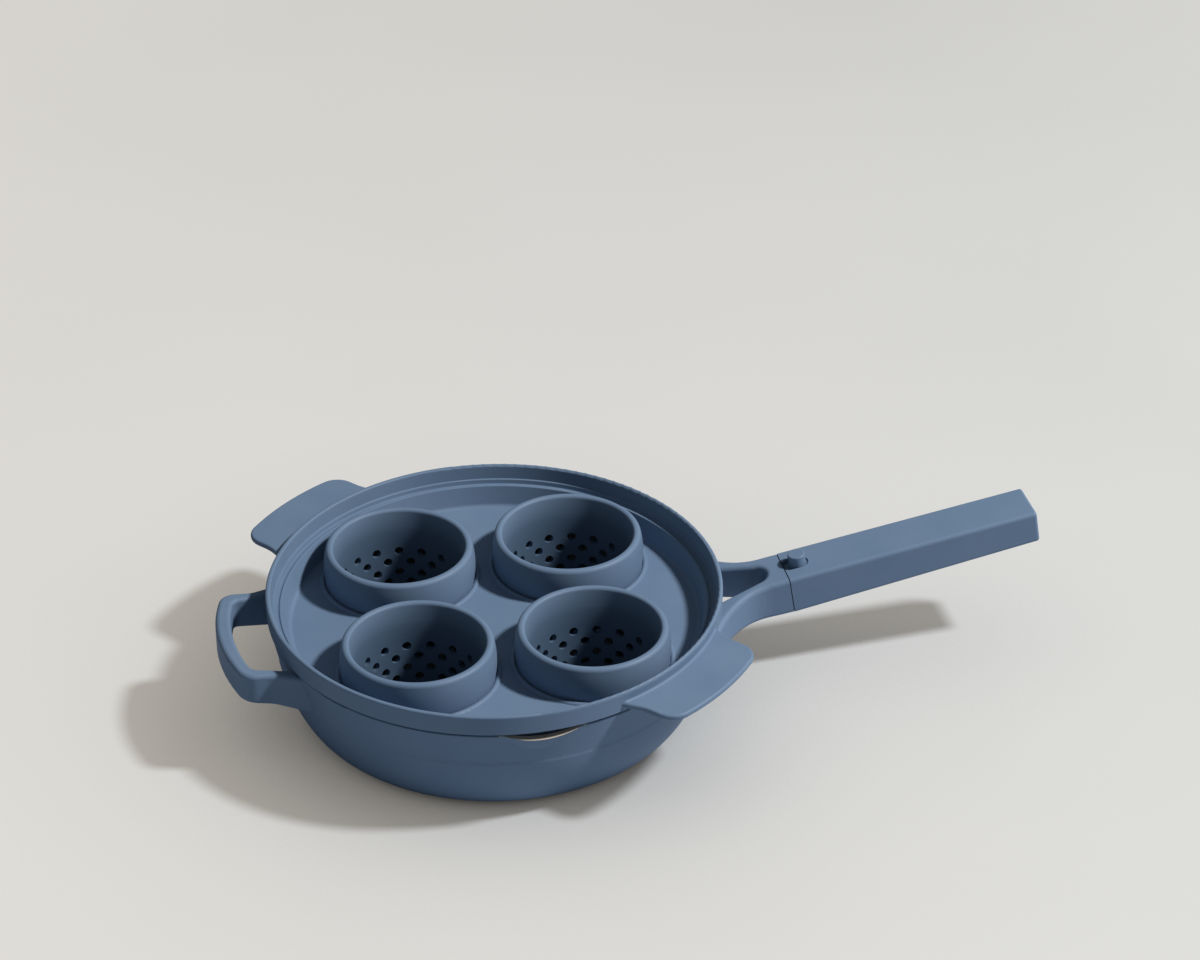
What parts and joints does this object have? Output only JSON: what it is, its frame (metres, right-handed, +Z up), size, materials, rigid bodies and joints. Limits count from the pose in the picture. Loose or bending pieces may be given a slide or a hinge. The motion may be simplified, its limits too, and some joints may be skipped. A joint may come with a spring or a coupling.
{
  "type": "egg poacher pan",
  "caption": "Round cast pan with a long straight handle and a helper loop, and a lift-out poaching tray whose pierced cups hang through its floor.",
  "frame": {"origin": "on the pan's upright axis, in the plane that its base stands on", "axes": "+Z up, +X along the long handle, away from the pan"},
  "size_m": [0.4948, 0.2893, 0.0869],
  "materials": {
    "cast_body": "matte",
    "disc_steel": "satin",
    "gasket_rubber": "matte",
    "grip_plastic": "matte",
    "peg_metal": "matte",
    "fastener_steel": "satin",
    "tray_silicone": "satin",
    "hoop_steel": "satin",
    "cup_silicone": "satin"
  },
  "bodies": {
    "pan": {"pan_body": "cast_body", "induction_disc": "disc_steel", "handle_gasket": "gasket_rubber", "handle_grip": "grip_plastic", "spoon_rest_peg": "peg_metal", "handle_washer": "fastener_steel", "handle_screw": "fastener_steel"},
    "tray": {"poacher_tray": "tray_silicone", "tray_hoop": "hoop_steel"},
    "cup_front_right_body": {"cup_front_right": "cup_silicone"},
    "cup_back_right_body": {"cup_back_right": "cup_silicone"},
    "cup_back_left_body": {"cup_back_left": "cup_silicone"},
    "cup_front_left_body": {"cup_front_left": "cup_silicone"}
  },
  "joints": [
    {"name": "tray_lift", "type": "slide", "parent": "pan", "child": "tray", "axis": [0, 0, 1], "range_m": [0, 0.06]},
    {"name": "cup_front_right_lift", "type": "slide", "parent": "tray", "child": "cup_front_right_body", "axis": [0, 0, 1], "range_m": [0, 0.07]},
    {"name": "cup_back_right_lift", "type": "slide", "parent": "tray", "child": "cup_back_right_body", "axis": [0, 0, 1], "range_m": [0, 0.07]},
    {"name": "cup_back_left_lift", "type": "slide", "parent": "tray", "child": "cup_back_left_body", "axis": [0, 0, 1], "range_m": [0, 0.07]},
    {"name": "cup_front_left_lift", "type": "slide", "parent": "tray", "child": "cup_front_left_body", "axis": [0, 0, 1], "range_m": [0, 0.07]}
  ]
}
